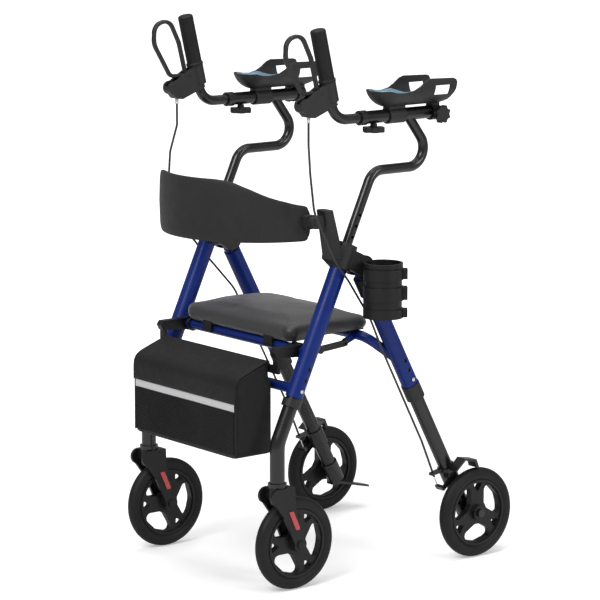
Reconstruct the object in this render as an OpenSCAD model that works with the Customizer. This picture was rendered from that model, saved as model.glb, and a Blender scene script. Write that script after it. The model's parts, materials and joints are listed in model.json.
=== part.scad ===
// Upright walker: forward is -Y, the walker's left is +X, the floor is z = 0

/* [Wheels] */
// diameter over the tyre, all four wheels
wheel_d = 203; // [200:1:206]
// width of the tyre
tyre_w = 30; // [28:1:31]
// front wheel axle to rear wheel axle, casters trailing
wheelbase = 489; // [484:1:494]
// caster axle behind the caster stem
caster_trail = 45; // [43:1:47]

/* [Frame] */
// middle of the walker to the middle of a leg
frame_x = 236; // [233:1:239]
// outside diameter of the blue leg tubes
leg_od = 38; // [37:0.5:39]
// wall of the blue leg tubes
leg_wall = 2.5; // [2.3:0.1:2.7]
// lean of the front legs, degrees from upright
front_lean = 24.7; // [24.3:0.1:25.1]
// lean of the rear legs, degrees from upright
rear_lean = 27.9; // [27.6:0.1:28.2]
// height of the fold pivot
pivot_z = 690; // [686:1:694]
// diameter of the cross tubes and the seat bar
bar_d = 22; // [20:1:23]

/* [Handles] */
// diameter of the handle post and the grip tube
post_od = 22; // [21:0.5:23]
// height of the forearm bar
bar_z = 1008.5; // [1000:1:1016]
// diameter of the rubber grip
grip_d = 34; // [32:1:36]
// length of the rubber grip
grip_len = 112; // [104:2:116]
// width of a forearm tray
tray_w = 94; // [90:1:98]
// length of a forearm tray
tray_len = 207; // [203:1:211]

/* [Seat and bag] */
// width of the seat
seat_w = 390; // [380:2:396]
// depth of the seat
seat_depth = 232; // [226:2:238]
// thickness of the seat at its edge
seat_t = 34; // [32:1:38]
// width of the bag
bag_w = 375; // [365:1:380]
// inside diameter of the cup holder
cup_d = 76; // [72:1:80]

/* [Fits] */
// gap between tubes that slide and parts that swing past each other
slide_gap = 0.3; // [0.25:0.05:0.4]
// radial clearance of a running shaft
run_gap = 0.05; // [0.02:0.01:0.1]

/* [Hidden] */
$fn = 48;

blue = [0.10, 0.15, 0.50];
black = [0.06, 0.06, 0.065];
dark = [0.16, 0.16, 0.17];
silver = [0.75, 0.75, 0.77];
red = [0.75, 0.03, 0.04];
gel = [0.35, 0.45, 0.52];

wheel_r = wheel_d / 2;
leg_r = leg_od / 2;
lower_od = leg_od - 2 * leg_wall - 2 * slide_gap;
lower_id = lower_od - 3.6;
hole_d = 9;
button_d = 8;
hole_pitch = 25;
crown_top = wheel_d + 28;
bend_z = crown_top + 93.6;
pivot_y = wheelbase - (pivot_z - wheel_r) * tan(rear_lean);
axle_s = (pivot_z - wheel_r) / cos(rear_lean);
rear_x = frame_x + lower_od / 2 + 6 + tyre_w / 2;

// stations along the front leg, measured up from the bend of the lower leg
leg_s0 = 106;
leg_s1 = 446;
collar_s = 84;
button_s = 122;
// stations along the rear leg, measured down from the fold pivot
rear_s0 = 30;
rear_s1 = 329;
rear_collar_s = 354;
rear_button_s = 302;

cross_s = 209.6;
cross_z = bend_z + cross_s * cos(front_lean);
cross_y = cross_s * sin(front_lean) - caster_trail;
low_s = 124.5;
low_z = bend_z + low_s * cos(front_lean);
low_y = low_s * sin(front_lean) - caster_trail;

seat_z = cross_z + 19;
support_y = cross_y + 182;
support_z = seat_z - bar_d / 2 - slide_gap;
lug_y = support_y - 37;
lug_z = support_z - 14;
board_t = 4;
stay_x = frame_x - 54;
stay_t = 5;
stay_len = norm([lug_y - cross_y, lug_z - cross_z]) / 2 * 1.008;
stay_dir = atan2(lug_z - cross_z, lug_y - cross_y) - acos(1 / 1.008);
knee_y = cross_y + stay_len * cos(stay_dir);
knee_z = cross_z + stay_len * sin(stay_dir);

hub_y = leg_s1 * sin(front_lean) - caster_trail;
hub_z = bend_z + leg_s1 * cos(front_lean);
horn_y = hub_y - 69.4;
back_y = horn_y - 20;
back_z = hub_z + 64.2;
back_r = frame_x - 18;
back_t = 17;
back_lo = back_z - 44;
back_hi = back_z + 92;
bag_y = cross_y - 69.6;
bag_z = cross_z - 224;
bag_deep = 91;
bag_wall = 3;
hem_d = 4.4;
hanger_x0 = frame_x - 38;
hanger_x1 = frame_x - 21;
cup_y = pivot_y + 13.6;
cup_z = pivot_z - 104;

post_s = (bar_z - 116.5 - bend_z) / cos(front_lean);
v1 = [frame_x, post_s * sin(front_lean) - caster_trail, bend_z + post_s * cos(front_lean)];
v2 = [frame_x, v1[1] + 183, v1[2]];
v3 = [frame_x, v1[1] + 96, bar_z];
sleeve_od = post_od + 6;
sleeve_y0 = v3[1] - 134;
sleeve_y1 = v3[1] + 84;
v4 = [frame_x, v3[1] - 202, bar_z];
grip_dir = [0, -0.2284, 0.9736];
grip_s0 = 86;
tray_r = tray_w / 2;
tray_z = bar_z + sleeve_od / 2 + 5;
tray_c = tray_z + tray_r;
tray_y0 = v3[1] - 103;
tray_y1 = tray_y0 + tray_len;
knob_y = v3[1] - 93;
star_y = tray_y1 - 30;
slot_y = 61;
slot_len = 42;
lever_y = v4[1] - 44;
lever_z = bar_z + 60;
lever_w = 11;
brake_s = axle_s - 102;
brake_y = pivot_y + brake_s * sin(rear_lean) - 8;
brake_z = pivot_z - brake_s * cos(rear_lean);
cable_d = 5;
cable_top = [frame_x, v4[1] - 70, bar_z + 20];
cable_low = [frame_x + 4, 358, 276];
cable_stop = [frame_x + 4, brake_y - 38, brake_z - 2];
cable_end = [frame_x + 4, brake_y - 25, brake_z - 31];

function front_at(s) = [frame_x, s * sin(front_lean) - caster_trail, bend_z + s * cos(front_lean)];
function rear_at(s) = [frame_x, pivot_y + s * sin(rear_lean), pivot_z - s * cos(rear_lean)];
function unit(v) = v / norm(v);
function turn(a, b, c) = acos(max(-1, min(1, unit(b - a) * unit(c - b))));
function lead(a, b, c, r) = r * tan(turn(a, b, c) / 2);

// everything is laid out from the caster axle, then centred between the axles
module centred() translate([0, -wheelbase / 2, 0]) children();
module right() mirror([1, 0, 0]) children();
module both() {
  children();
  mirror([1, 0, 0]) children();
}

// round bar from p to q
module rod(p, q, d) {
  v = q - p;
  translate(p)
    rotate([0, acos(v[2] / norm(v)), atan2(v[1], v[0])])
      cylinder(d = d, h = norm(v));
}

// bend at corner b, sweeping a flat section and lapped over the straight ends, so the pieces join cleanly
module sweep_bend(a, b, c, r) {
  over = 0.3 / r * 180 / PI;
  u = unit(b - a);
  w = unit(c - b);
  m = unit(w - u * (u * w));
  z = cross(-m, u);
  o = b - u * lead(a, b, c, r) + m * r;
  multmatrix([[-m[0], u[0], z[0], o[0]], [-m[1], u[1], z[1], o[1]],
    [-m[2], u[2], z[2], o[2]], [0, 0, 0, 1]])
    rotate(-over) rotate_extrude(angle = turn(a, b, c) + 2 * over) translate([r, 0]) children();
}

// bend of a round bar, a hair thicker than the bar
module elbow(a, b, c, r, d) sweep_bend(a, b, c, r) circle(d = d + 0.3);

// round bar along the points p, bent to radius r at each inner point
module bent(p, r, d) {
  n = len(p) - 1;
  for (i = [0 : n - 1]) {
    a = i == 0 ? p[0] : p[i] + unit(p[i + 1] - p[i]) * lead(p[i - 1], p[i], p[i + 1], r);
    b = i == n - 1 ? p[n] : p[i + 1] - unit(p[i + 1] - p[i]) * lead(p[i], p[i + 1], p[i + 2], r);
    rod(a, b, d);
  }
  for (i = [1 : n - 1]) elbow(p[i - 1], p[i], p[i + 1], r, d);
}

// section of a flat bar with chamfered edges: t through, w along X
module strap_section(t, w) polygon([[-t / 2, 2 - w / 2], [2 - t / 2, -w / 2], [t / 2 - 2, -w / 2],
  [t / 2, 2 - w / 2], [t / 2, w / 2 - 2], [t / 2 - 2, w / 2], [2 - t / 2, w / 2], [-t / 2, w / 2 - 2]]);

// flat bar along the points p, which lie in one Y-Z plane, bent to radius r[i] at inner point i
module strap(p, r, t, w) {
  n = len(p) - 1;
  for (i = [0 : n - 1]) {
    v = unit(p[i + 1] - p[i]);
    a = i == 0 ? p[0] : p[i] + v * lead(p[i - 1], p[i], p[i + 1], r[i]);
    b = i == n - 1 ? p[n] : p[i + 1] - v * lead(p[i], p[i + 1], p[i + 2], r[i + 1]);
    m = cross([1, 0, 0], v);
    multmatrix([[m[0], 1, v[0], a[0]], [m[1], 0, v[1], a[1]], [m[2], 0, v[2], a[2]], [0, 0, 0, 1]])
      linear_extrude(norm(b - a)) strap_section(t, w);
  }
  for (i = [1 : n - 1]) sweep_bend(p[i - 1], p[i], p[i + 1], r[i]) strap_section(t + 0.3, w + 0.3);
}

// flat shape drawn in Y and Z, from x0 to x1
module slab(x0, x1) translate([x0, 0, 0]) rotate([90, 0, 90]) linear_extrude(x1 - x0) children();

// round bar along X
module across(x0, x1, y, z, d) translate([x0, y, z]) rotate([0, 90, 0]) cylinder(d = d, h = x1 - x0);

// knob with finger hollows, standing up from z = 0
module lobed(d, h, lobes) {
  difference() {
    cylinder(d = d, h = h);
    for (i = [0 : lobes - 1])
      rotate(i * 360 / lobes) translate([d * 0.59, 0, -1]) cylinder(d = d * 0.36, h = h + 2);
  }
}

// two leg tubes and two cross tubes, welded
module front_tubes() color(blue) centred() {
  difference() {
    union() {
      across(-frame_x, frame_x, cross_y, cross_z, bar_d);
      across(-frame_x, frame_x, low_y, low_z, bar_d);
    }
    both() rod(front_at(leg_s0 - 20), front_at(leg_s1), leg_od - leg_wall);
    across(-frame_x - 1, frame_x + 1, cross_y, cross_z, bar_d - 4);
    across(-frame_x - 1, frame_x + 1, low_y, low_z, bar_d - 4);
  }
  both() difference() {
    rod(front_at(leg_s0), front_at(leg_s1), leg_od);
    rod(front_at(leg_s0 - 1), front_at(leg_s1 + 1), leg_od - 2 * leg_wall);
    for (i = [0 : 2]) {
      p = front_at(button_s + i * hole_pitch);
      across(p[0], p[0] + leg_od, p[1], p[2], hole_d);
    }
  }
}

module hub() difference() {
  union() {
    rod(front_at(leg_s1 - 46), front_at(leg_s1 + 10), leg_od + 11);
    hull() for (x = [frame_x - 10, frame_x + 12]) {
      for (y = [8, 15]) translate([x, horn_y + y, hub_z + 87]) cylinder(r = 8, h = 2, $fn = 32);
      for (y = [25, 44]) translate([x, horn_y + y, hub_z - 18]) cylinder(r = 8, h = 2, $fn = 32);
    }
    slab(frame_x - 17, frame_x + 19)
      polygon([[horn_y + 27, hub_z + 32], [horn_y + 40, hub_z + 11], [horn_y + 66, hub_z + 6],
        [horn_y + 70, hub_z - 30], [horn_y + 40, hub_z - 40], [horn_y + 17, hub_z - 18]]);
    slab(frame_x - 24, frame_x + 24)
      polygon([[pivot_y - 53, pivot_z + 4], [pivot_y - 39, pivot_z + 43], [pivot_y, pivot_z + 24],
        [pivot_y, pivot_z - 24]]);
    across(frame_x - 24, frame_x + 24, pivot_y, pivot_z, 48);
    rod(front_at(leg_s1 - 10) + [0, 18, -8], front_at(leg_s1 - 10) + [0, 40, -18], 22);
    slab(frame_x - 4, frame_x + 10) polygon([[horn_y + 9, back_z - 15], [back_y, back_z - 13],
      [back_y, back_z + 13], [horn_y + 5, back_z + 15]]);
    across(frame_x - 4, frame_x + 10, back_y, back_z, 26);
  }
  rod(front_at(leg_s0), front_at(leg_s1), leg_od);
  rod(front_at(leg_s0), front_at(leg_s1 + 60), post_od + 2 * slide_gap);
  across(frame_x - 13, frame_x + 13, pivot_y, pivot_z, 44);
  slab(frame_x - 13, frame_x + 13) polygon([[pivot_y - 22, pivot_z], [pivot_y + 22, pivot_z],
    [pivot_y + 50, pivot_z - 60], [pivot_y - 22, pivot_z - 60]]);
  across(frame_x - 30, frame_x + 30, pivot_y, pivot_z, 12 + 2 * run_gap);
  across(frame_x - 10, frame_x + 16, back_y, back_z, 10 + 2 * run_gap);
}

module front_collar() difference() {
  rod(front_at(collar_s), front_at(leg_s0 + 12), leg_od + 4);
  top = front_at(leg_s0 + 12);
  rod(front_at(collar_s - 1), front_at(leg_s0 + 1), lower_od + 2 * slide_gap);
  rod(front_at(leg_s0), front_at(leg_s0 + 20), leg_od);
  translate([0, top[1], top[2]]) slab(0, 2 * frame_x)
    polygon([[-64, -1], [16, -16], [56, -7], [56, 28], [-64, 28]]);
}

module rear_collar() difference() {
  rod(rear_at(rear_s1 - 12), rear_at(rear_collar_s), leg_od + 4);
  rod(rear_at(rear_s1 - 1), rear_at(rear_collar_s + 1), lower_od + 2 * slide_gap);
  rod(rear_at(rear_s1 - 20), rear_at(rear_s1), leg_od);
}

// arm from the cross tube to the back of the bag
module hanger() difference() {
  union() {
    across(hanger_x0, hanger_x1, cross_y, cross_z, bar_d + 9);
    slab(hanger_x0, hanger_x1) polygon([[cross_y, cross_z + 13], [bag_y - 3, cross_z + 13],
      [bag_y - 9, cross_z + 4], [bag_y - 3, cross_z - 8], [cross_y, cross_z - 14]]);
    slab(bag_w / 2 - 17.5, hanger_x1) polygon([[bag_y + slide_gap, cross_z + 4], [bag_y + 7, cross_z + 4],
      [bag_y + 7, cross_z - 44], [bag_y + slide_gap, cross_z - 44]]);
  }
  across(hanger_x0 - 8, hanger_x1 + 5, cross_y, cross_z, bar_d);
  slab(bag_w / 2 - 20, hanger_x0 - 1) polygon([[bag_y - 13, cross_z - 27], [bag_y + 17, cross_z - 27],
    [bag_y + 17, cross_z + 30], [bag_y - 13, cross_z + 30]]);
}

// side outline of the bag, from its back edge at the foot
module bag_outline() polygon([[0, 0], [10 - bag_deep, 0], [-bag_deep, 10], [-bag_deep, 150],
  [5 - bag_deep, 165], [18 - bag_deep, 180], [38 - bag_deep, 192], [63 - bag_deep, 199], [0, 201]]);

module bag() color(black) centred() translate([0, bag_y, bag_z]) difference() {
  slab(-bag_w / 2, bag_w / 2) bag_outline();
  slab(bag_wall - bag_w / 2, bag_w / 2 - bag_wall) polygon([[-bag_wall, bag_wall], [12 - bag_deep, bag_wall],
    [bag_wall - bag_deep, 12], [bag_wall - bag_deep, 229], [-bag_wall, 229]]);
}

// curved flap over the front and top of the bag, with a round hem where it is sewn on
module bag_lid() color(black) centred() translate([0, bag_y, bag_z]) {
  slab(-bag_w / 2, bag_w / 2)
    polygon([[-hem_d / 2, 201.6], [63 - bag_deep, 199.6], [37.8 - bag_deep, 192.6], [17.6 - bag_deep, 180.5],
      [4.5 - bag_deep, 165.3], [-0.6 - bag_deep, 150], [-0.6 - bag_deep, 133], [-4 - bag_deep, 133],
      [-4 - bag_deep, 151], [1.5 - bag_deep, 167.5], [15.5 - bag_deep, 184], [36.5 - bag_deep, 196.5],
      [62 - bag_deep, 203.8], [-hem_d / 2, 205.8]]);
  across(-bag_w / 2, bag_w / 2, -hem_d / 2, 201.6 + hem_d / 2, hem_d);
}

// brake cable along its route from the lever to the brake arm
module cable() {
  bent([cable_top, cable_top - [0, 0, 68], [frame_x + 16, 32, 900], [frame_x + 27, 34, 820],
    [frame_x + 29, 92, 706], [frame_x + 27, 128, 664], [frame_x + 8, 204, 572],
    [frame_x + 4, 243, 495], cable_low, cable_stop], 22, cable_d);
  rod(cable_top, cable_top - [0, 0, 20], 8);
  rod(cable_stop, cable_end, 2.4);
}

// a blue tube with a flat pivot end and two trunnions
module rear_leg() difference() {
  union() {
    rod(rear_at(rear_s0), rear_at(rear_s1), leg_od);
    intersection() {
      rod(rear_at(0), rear_at(rear_s0 + 20), leg_od - 2 * leg_wall);
      slab(frame_x - 12.5, frame_x + 12.5) polygon([[0, 300], [600, 300], [600, 800], [0, 800]]);
    }
    across(frame_x - 12.5, frame_x + 12.5, pivot_y, pivot_z, 38);
    across(frame_x - 24, frame_x + 24, pivot_y, pivot_z, 12);
  }
  rod(rear_at(rear_s0 + 20), rear_at(rear_s1 + 1), leg_od - 2 * leg_wall);
  for (i = [0 : 2]) {
    p = rear_at(rear_button_s - i * hole_pitch);
    across(p[0], p[0] + leg_od, p[1], p[2], hole_d);
  }
}

// two rear legs and the bent bar under the back of the seat, welded
module rear_tubes() color(blue) centred() {
  s = (pivot_z - 463) / cos(rear_lean);
  e = rear_at(s);
  difference() {
    union() {
      bent([[-e[0], e[1], e[2]], [31 - frame_x, support_y, support_z],
        [frame_x - 31, support_y, support_z], e], 34, bar_d);
      both() slab(stay_x - 12, stay_x - 7) {
        polygon([[support_y, support_z + 6], [support_y, support_z - 8], [lug_y, lug_z - 7],
          [lug_y - 4, lug_z - 7], [lug_y - 7, lug_z], [lug_y, lug_z + 8]]);
      }
    }
    both() rod(rear_at(s - 60), rear_at(s + 60), leg_od - leg_wall);
    both() across(stay_x - 20, stay_x, lug_y, lug_z, 6);
  }
  both() rear_leg();
}

// cup with three split rings round it, clamped on the rear leg
module cup_holder() color(black) centred() {
  cx = frame_x + leg_r + 11 + cup_d / 2;
  difference() {
    union() {
      translate([cx, cup_y, cup_z]) cylinder(d = cup_d + 5, h = 116);
      for (ring = [[-2, 20], [36, 30], [81, 24]]) translate([cx, cup_y, cup_z + ring[0]]) {
        cylinder(d = cup_d + 11, h = ring[1]);
        rotate(52) translate([cup_d / 2 + 1, -11, 1]) cube([13, 22, ring[1] - 2]);
      }
      translate([cx, cup_y, cup_z + 108]) cylinder(d = cup_d + 9, h = 9);
      slab(frame_x + 8, cx - cup_d / 2) polygon([[cup_y - 19, cup_z + 78], [cup_y + 15, cup_z + 78],
        [cup_y + 24, cup_z + 40], [cup_y - 2, cup_z + 40]]);
      translate([cx, cup_y, cup_z - 1]) rotate(212) translate([cup_d / 2 - 2, -9, 0]) cube([6.5, 18, 104]);
      rod(rear_at(29), rear_at(72), leg_od + 8);
    }
    translate([cx, cup_y, cup_z + 3]) cylinder(d = cup_d, h = 130);
    rod(rear_at(20), rear_at(90), leg_od);
    translate([cx, cup_y, cup_z + 5]) rotate(52) translate([cup_d / 2 - 10, -4, 0]) cube([30, 8, 130]);
  }
}

// board under the cushion, with two clips round the cross tube
module seat_board() color(black) centred() difference() {
  w = seat_w / 2 - 14;
  y0 = cross_y - 8;
  y1 = cross_y - 36 + seat_depth;
  union() {
    slab(-w, w) polygon([[y0, seat_z], [y1, seat_z], [y1, seat_z + board_t], [y0, seat_z + board_t]]);
    for (x = [-110, 110]) {
      across(x - 15, x + 15, cross_y, cross_z, bar_d + 10);
      slab(x - 15, x + 15) polygon([[cross_y - 16, cross_z], [cross_y + 16, cross_z],
        [cross_y + 16, seat_z + 1], [cross_y - 16, seat_z + 1]]);
    }
  }
  across(-140, 140, cross_y, cross_z, bar_d + 2 * slide_gap);
  slab(-140, 140) polygon([[0, 400], [cross_y + 40, 400], [cross_y + 40, cross_z - 4], [0, cross_z - 4]]);
}

// padded cushion: sides swell from a narrow foot, then round over to a crowned top
module seat() color(black) centred() {
  y0 = cross_y - 22;
  w = seat_w / 2;
  z0 = seat_z + board_t;
  h = seat_t - board_t;
  hull() {
    for (x = [-w + 26, w - 26]) for (y = [y0 + 26, y0 + seat_depth - 26]) {
      translate([x, y, z0]) cylinder(r = 20, h = 1, $fn = 24);
      translate([x, y, z0 + 5]) cylinder(r = 25, h = 2, $fn = 24);
      translate([x, y, z0 + h / 2]) cylinder(r = 26, h = 2, $fn = 24);
      translate([x, y, z0 + h - 6]) cylinder(r = 24, h = 2, $fn = 24);
      translate([x, y, z0 + h - 1]) cylinder(r = 18, h = 1, $fn = 24);
    }
    translate([0, y0 + seat_depth / 2, z0 + h]) scale([w - 40, seat_depth / 2 - 30, 6])
      sphere(r = 1, $fn = 24);
  }
}

// block on the outside of each end of the backrest, with its trunnion
module backrest_hinges() color(black) centred() both() {
  across(frame_x - 12, frame_x + 11, back_y, back_z, 10);
  difference() {
    slab(back_r - 6, frame_x - 5) polygon([[back_y - 12, back_z - 12], [back_y - 9, back_z - 15],
      [back_y + 9, back_z - 15], [back_y + 12, back_z - 12], [back_y + 12, back_z + 12],
      [back_y + 9, back_z + 15], [back_y - 9, back_z + 15], [back_y - 12, back_z + 12]]);
    translate([0, back_y + 36, back_lo - 50]) cylinder(r = back_r + slide_gap, h = 220, $fn = 96);
  }
}

// curved padded band, taller in the middle
module backrest() color(black) centred() intersection() {
  translate([0, back_y + 36, back_lo - 50]) difference() {
    cylinder(r = back_r, h = 220, $fn = 96);
    translate([0, 0, -1]) cylinder(r = back_r - back_t, h = 222, $fn = 96);
  }
  translate([0, back_y + 12, 0]) rotate([90, 0, 0]) linear_extrude(back_r + 60) for (side = [-1, 1])
    polygon([[0, back_lo], [side * (back_r + 12), back_lo], [side * (back_r + 12), back_hi - 68],
      [side * (back_r - 12), back_hi - 58], [side * (back_r - 23), back_hi - 48],
      [side * (back_r - 41), back_hi - 36], [side * (back_r - 62), back_hi - 21],
      [side * (back_r - 88), back_hi - 7], [side * (back_r - 106), back_hi - 2],
      [side * (back_r - 128), back_hi], [0, back_hi]]);
  translate([0, back_y, 0]) slab(-back_r - 20, back_r + 20)
    polygon([[6 - back_r, back_lo - 20], [6 - back_r, back_hi + 20], [-52, back_hi + 20], [-12, back_hi - 50],
      [-2, back_hi - 66], [6, back_hi - 70], [10, back_hi - 75], [12, back_hi - 82], [12, back_lo + 12],
      [10, back_lo + 6], [6, back_lo + 2], [-2, back_lo], [-52, back_lo - 20]]);
}

module stay_front() difference() {
  union() {
    across(stay_x, stay_x + stay_t, cross_y, cross_z, bar_d + 9);
    across(stay_x, stay_x + stay_t, knee_y, knee_z, 17);
    slab(stay_x, stay_x + stay_t) polygon([[cross_y, cross_z - 7], [knee_y, knee_z - 7],
      [knee_y, knee_z + 7], [cross_y, cross_z + 7]]);
    across(stay_x - stay_t - 0.6, stay_x + 1, knee_y, knee_z, 7);
  }
  across(stay_x - 1, stay_x + stay_t + 1, cross_y, cross_z, bar_d + 2 * slide_gap);
}

module stay_rear() difference() {
  union() {
    across(stay_x - stay_t - 0.5, stay_x - 0.5, knee_y, knee_z, 17);
    across(stay_x - stay_t - 0.5, stay_x - 0.5, lug_y, lug_z, 14);
    slab(stay_x - stay_t - 0.5, stay_x - 0.5) polygon([[knee_y, knee_z - 7], [lug_y, lug_z - 7],
      [lug_y, lug_z + 7], [knee_y, knee_z + 7]]);
  }
  across(stay_x - 20, stay_x + 20, knee_y, knee_z, 7 + 2 * run_gap);
  across(stay_x - 20, stay_x + 20, lug_y, lug_z, 6);
}

// bent tube with a cap ring and the caster stem at its foot
module front_lower_leg() {
  foot = [frame_x, -caster_trail, crown_top + 0.6];
  difference() {
    union() {
      bent([foot, front_at(0), front_at(leg_s0 + 146)], 60, lower_od);
      rod(foot, foot + [0, 0, 9], lower_od + 9);
      rod(foot - [0, 0, 22], foot + [0, 0, 20], 12);
    }
    difference() {
      bent([foot + [0, 0, 14], front_at(0), front_at(leg_s0 + 150)], 60, lower_id);
      rod(foot, foot + [0, 0, 20], 12);
    }
    p = front_at(button_s);
    across(p[0], p[0] + leg_od, p[1], p[2], button_d + 2 * run_gap);
  }
}

module front_button() {
  p = front_at(button_s);
  across(p[0] + lower_od / 2 - 8, p[0] + leg_r + 2, p[1], p[2], button_d);
}

// straight tube with axle, foot cap, brake bracket and kerb pedal
module rear_lower_leg() difference() {
  union() {
    rod(rear_at(rear_s1 - 146), rear_at(axle_s + 18), lower_od);
    rod(rear_at(axle_s - 26), rear_at(axle_s + 24), lower_od + 7);
    across(frame_x, rear_x + 23, wheelbase, wheel_r, 10);
    across(rear_x + 17.6, rear_x + 23, wheelbase, wheel_r, 18);
    rod(rear_at(brake_s - 20), rear_at(brake_s + 22), lower_od + 7);
    slab(frame_x - 2, frame_x + 10) polygon([[brake_y - 48, brake_z + 8], [brake_y + 6, brake_z + 20],
      [brake_y + 12, brake_z + 10], [brake_y - 48, brake_z + 2]]);
    across(frame_x, rear_x - 12, brake_y, brake_z, 9);
    slab(frame_x - 11, frame_x + 11) polygon([[wheelbase - 8, wheel_r - 22], [wheelbase + 20, wheel_r - 27],
      [wheelbase + 104, wheel_r - 48], [wheelbase + 104, wheel_r - 53], [wheelbase + 20, wheel_r - 33],
      [wheelbase - 8, wheel_r - 32]]);
  }
  rod(rear_at(rear_s1 - 150), rear_at(brake_s - 30), lower_id);
  p = rear_at(rear_button_s);
  across(p[0], p[0] + leg_od, p[1], p[2], button_d + 2 * run_gap);
  rod(cable_low, cable_stop * 1.02 - cable_low * 0.02, cable_d + 2 * slide_gap);
}

module rear_button() {
  p = rear_at(rear_button_s);
  across(p[0] + lower_od / 2 - 8, p[0] + leg_r + 2, p[1], p[2], button_d);
}

// two plates under a crown, with a round nose on each plate and the wheel axle
module caster_fork() {
  in = tyre_w / 2 + 2.5;
  out = in + 7;
  y0 = -caster_trail;
  difference() {
    union() {
      for (x = [frame_x - out, frame_x + in]) {
        slab(x, x + 7) polygon([[y0 - 24, crown_top - 4], [y0 + 30, crown_top], [y0 + 31, crown_top - 40],
          [y0 + 44, wheel_r + 44], [15, wheel_r + 3], [-14, wheel_r - 2], [y0 + 6, wheel_r + 56],
          [y0 - 22, wheel_r + 94]]);
        across(x, x + 7, 0, wheel_r, 32);
        across(x, x + 7, y0 - 16, crown_top - 18, 36);
      }
      slab(frame_x - out, frame_x + out) polygon([[y0 - 16, crown_top - 22], [y0 + 30, crown_top - 22],
        [y0 + 30, crown_top], [y0 - 16, crown_top]]);
      translate([frame_x, y0, crown_top - 24]) cylinder(d = 2 * in + 6, h = 24);
      across(frame_x - out - 4, frame_x + out + 4, 0, wheel_r, 10);
      for (x = [frame_x - out - 4, frame_x + out]) across(x, x + 4, 0, wheel_r, 17);
    }
    translate([frame_x, y0, 0]) cylinder(d = 12 + 2 * run_gap, h = crown_top + 20);
  }
}

module caster_reflectors() {
  out = tyre_w / 2 + 9.5;
  for (x = [frame_x - out - 2, frame_x + out])
    slab(x, x + 2) polygon([[-33, wheel_r + 77], [-21, wheel_r + 77], [-4, wheel_r + 40],
      [-5, wheel_r + 35], [-14, wheel_r + 35]]);
}

// three-spoke wheel round the X axis, centred on the origin
module rim() rotate([0, 90, 0]) difference() {
  union() {
    difference() {
      translate([0, 0, -12]) cylinder(r = wheel_r - 26, h = 24);
      translate([0, 0, -13]) cylinder(r = wheel_r - 32, h = 26);
    }
    translate([0, 0, -8]) cylinder(r = wheel_r - 30, h = 16);
    translate([0, 0, -tyre_w / 2 - 1.5]) cylinder(r = 17, h = tyre_w + 3);
  }
  for (a = [0, 120, 240]) rotate(a) {
    translate([0, 0, -20]) linear_extrude(40) hull() {
      for (b = [-28, 0, 28]) rotate(b) translate([wheel_r - 45, 0]) circle(r = 11, $fn = 32);
      for (b = [-10, 10]) rotate(b) translate([35, 0]) circle(r = 8, $fn = 32);
    }
    rotate(60) translate([0, 0, -20]) linear_extrude(40) hull() {
      for (b = [-7, 7]) rotate(b) translate([wheel_r - 37, 0]) circle(r = 3, $fn = 24);
      translate([wheel_r - 50, 0]) circle(r = 3, $fn = 24);
    }
  }
  translate([0, 0, -40]) cylinder(d = 10 + 2 * run_gap, h = 80);
}

module tyre() rotate([0, 90, 0]) rotate_extrude() difference() {
  translate([wheel_r - tyre_w / 2, 0]) circle(d = tyre_w);
  translate([0, -tyre_w]) square([wheel_r - 26, 2 * tyre_w]);
}

module caster_rim() translate([frame_x, 0, wheel_r]) rotate([-30, 0, 0]) rim();
module caster_tyre() translate([frame_x, 0, wheel_r]) tyre();
module rear_rim() translate([rear_x, wheelbase, wheel_r]) rim();
module rear_tyre() translate([rear_x, wheelbase, wheel_r]) tyre();

// cable tab in front of the pivot, strip arching over the tyre behind it
module brake_arm() difference() {
  x0 = frame_x + lower_od / 2 + 4;
  arm_t = 4;
  top = wheel_d + 2.6;
  union() {
    across(x0, x0 + arm_t, brake_y, brake_z, 20);
    slab(x0, x0 + arm_t) polygon([[brake_y - 8, brake_z - 4], [brake_y - 32, brake_z - 25],
      [brake_y - 26, brake_z - 33], [brake_y + 6, brake_z - 8], [brake_y + 10, brake_z + 4],
      [brake_y - 4, brake_z + 22], [brake_y - 12, brake_z + 16]]);
    slab(x0, rear_x + 10) polygon([[brake_y - 12, brake_z + 14], [brake_y + 16, top + 25],
      [brake_y + 50, top + 19], [brake_y + 58, top], [brake_y + 50, top], [brake_y + 45, top + 14],
      [brake_y + 18, top + 20], [brake_y - 8, brake_z + 12]]);
    slab(frame_x - 1, x0 + 1) polygon([[brake_y - 32, brake_z - 25], [brake_y - 26, brake_z - 33],
      [brake_y - 20, brake_z - 28], [brake_y - 27, brake_z - 20]]);
  }
  across(x0 - 1, x0 + 6, brake_y, brake_z, 9 + 2 * run_gap);
  rod(cable_stop, 2 * cable_end - cable_stop, 3.4);
}

// bent post with the forearm sleeve welded on top
module handle_post() difference() {
  union() {
    bent([front_at(300), v1, v2, v3], 40, post_od);
    rod([frame_x, sleeve_y0, bar_z], [frame_x, sleeve_y1, bar_z], sleeve_od);
    rod([frame_x, sleeve_y0 - 1, bar_z], [frame_x, sleeve_y0 + 16, bar_z], sleeve_od + 4);
  }
  rod(front_at(299), front_at(post_s - 30), post_od - 3.6);
  rod([frame_x, sleeve_y0 - 2, bar_z], [frame_x, sleeve_y1 - 4, bar_z], post_od + 2 * slide_gap);
  rod([frame_x, knob_y, bar_z - 30], [frame_x, knob_y, bar_z], 8 + 2 * run_gap);
  for (i = [0 : 7]) {
    p = front_at(leg_s1 - 98 + i * hole_pitch);
    across(p[0], p[0] + post_od, p[1], p[2], 7);
  }
}

// centre line of the grip tube, from inside the sleeve to the top of the grip
grip_line = [[frame_x, v3[1] - 12, bar_z], v4, v4 + grip_dir * (grip_s0 + grip_len - 6)];

module grip_tube() difference() {
  bent(grip_line, 42, post_od);
  rod([frame_x, v3[1] - 11, bar_z], [frame_x, v4[1] + 50, bar_z], post_od - 4);
}

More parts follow.
